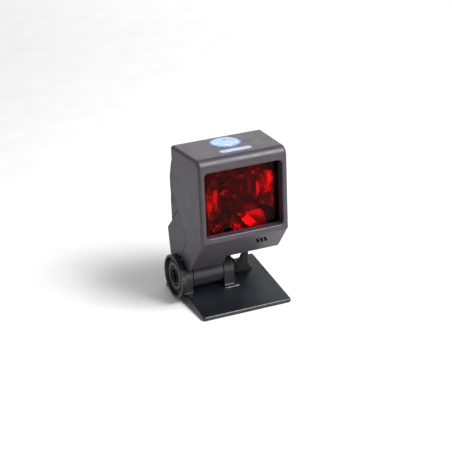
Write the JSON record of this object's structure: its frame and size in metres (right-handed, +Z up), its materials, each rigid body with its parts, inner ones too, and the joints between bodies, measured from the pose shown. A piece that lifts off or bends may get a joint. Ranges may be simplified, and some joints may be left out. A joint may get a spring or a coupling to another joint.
{
  "type": "hands-free barcode scanner",
  "caption": "Box-shaped scanning head with a red window and lit button on top, tilting on a friction hinge over a wedge-shaped stand with a round cable port.",
  "frame": {"origin": "on the table under the middle of the head, where the feet's rest plane meets the head's centre plane", "axes": "+Z up, -Y the side the window looks to, +X to the right seen from the front"},
  "size_m": [0.0836, 0.0682, 0.1272],
  "materials": {
    "stand_abs": "fine-grained dark moulding",
    "shell_abs": "fine-grained dark grey moulding",
    "cover_abs": "lighter grey moulding",
    "lower_abs": "dark grey moulding",
    "hinge_abs": "smooth dark grey moulding",
    "rubber": "soft black",
    "steel": "zinc plated",
    "acetal": "natural acetal",
    "friction_fibre": "pressed fibre",
    "socket_plastic": "black moulding",
    "contact_gold": "gold flash",
    "ribbon": "flat lead",
    "red_acrylic": "polished deep red acrylic",
    "lit_white": "opal, lit from behind, emissive",
    "lit_blue": "blue light guide, emissive",
    "circuit_board": "green solder mask",
    "frame_plastic": "black glass-filled moulding",
    "laser_brass": "turned",
    "lens_glass": "coated",
    "mirror_glass": "front-silvered",
    "motor_steel": "drawn can",
    "speaker_black": "black",
    "gauze": "black woven gauze"
  },
  "bodies": {
    "stand": {"stand_base": "stand_abs", "left_ear": "stand_abs", "centre_ear": "stand_abs", "stand_strut": "stand_abs", "ballast_plate": "steel", "bottom_cover": "stand_abs", "rubber_feet": "rubber", "stand_screws": "steel", "ear_bush": "acetal", "friction_washer": "friction_fibre"},
    "head": {"board_chips": "socket_plastic", "board_connector": "acetal", "button_board": "circuit_board", "button_halo": "lit_blue", "button_switch": "socket_plastic", "cable_socket": "socket_plastic", "case_screws": "steel", "collecting_mirror": "mirror_glass", "collimator_lens": "lens_glass", "detector_board": "circuit_board", "frame_screws": "steel", "front_shell": "shell_abs", "hinge_barrel": "hinge_abs", "laser_module": "laser_brass", "light_bar": "lit_white", "lower_cover": "lower_abs", "main_board": "circuit_board", "motor_board": "circuit_board", "optical_filter": "red_acrylic", "optics_frame": "frame_plastic", "pattern_mirrors": "mirror_glass", "photodetector": "socket_plastic", "pivot_bolt": "steel", "port_ring": "hinge_abs", "rear_cover": "cover_abs", "ribbon_lead": "ribbon", "socket_contacts": "contact_gold", "speaker": "speaker_black", "speaker_gauze": "gauze", "spinner_motor": "motor_steel", "spring_washer": "steel", "status_leds": "lit_white", "turning_mirror": "mirror_glass", "window": "red_acrylic", "window_gasket": "rubber"},
    "button": {"scan_button": "lit_white", "switch_plunger": "socket_plastic"},
    "spinner": {"polygon_wheel": "mirror_glass", "motor_shaft": "steel"}
  },
  "joints": [
    {"name": "head_tilt", "type": "hinge", "parent": "stand", "child": "head", "pos_m": [0, 0.0198, 0.0196], "axis": [1, 0, 0], "range_deg": [-30, 45]},
    {"name": "button_press", "type": "slide", "parent": "head", "child": "button", "axis": [0, -0.0854, -0.9963], "range_m": [0, 0.0006], "stiffness_N_per_m": 1500, "springref_m": -0.0004},
    {"name": "spinner_turn", "type": "hinge", "parent": "head", "child": "spinner", "pos_m": [0.001, 0.00714, 0.08618], "axis": [0, 0.9963, -0.0854], "continuous": true}
  ]
}
